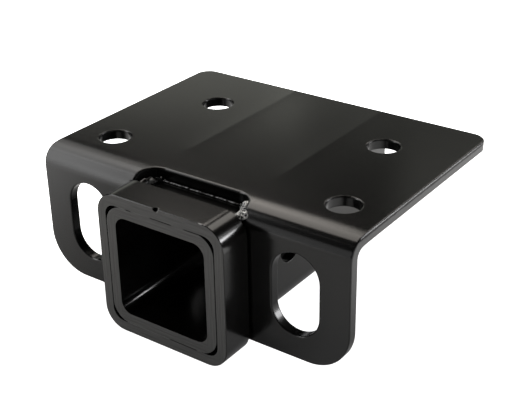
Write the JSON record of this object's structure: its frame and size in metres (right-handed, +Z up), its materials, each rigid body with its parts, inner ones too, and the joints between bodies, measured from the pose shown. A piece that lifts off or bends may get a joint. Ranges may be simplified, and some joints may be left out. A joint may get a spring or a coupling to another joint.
{
  "type": "receiver hitch",
  "caption": "Bolt-on receiver hitch: bent steel plate with bolt holes and slotted ears, square receiver tube and collar welded through its front leg.",
  "frame": {"origin": "middle of the four bolt holes, on the flat top face that bolts up against the vehicle", "axes": "+Z up out of the mounting face, -Y out of the receiver's mouth, +X to the right seen from above with the mouth at the bottom"},
  "size_m": [0.1796, 0.1514, 0.075],
  "materials": {
    "plate": "satin black powder coat",
    "tube": "satin black powder coat",
    "collar": "satin black powder coat",
    "weld": "rippled weld bead under black powder coat"
  },
  "bodies": {
    "root": {"mount_plate": "plate", "receiver_tube": "tube", "receiver_collar": "collar", "weld_root": "weld", "weld_ear_left": "weld", "weld_ear_right": "weld", "weld_stitch_left": "weld", "weld_stitch_right": "weld", "weld_back_left": "weld", "weld_back_right": "weld"}
  },
  "joints": []
}
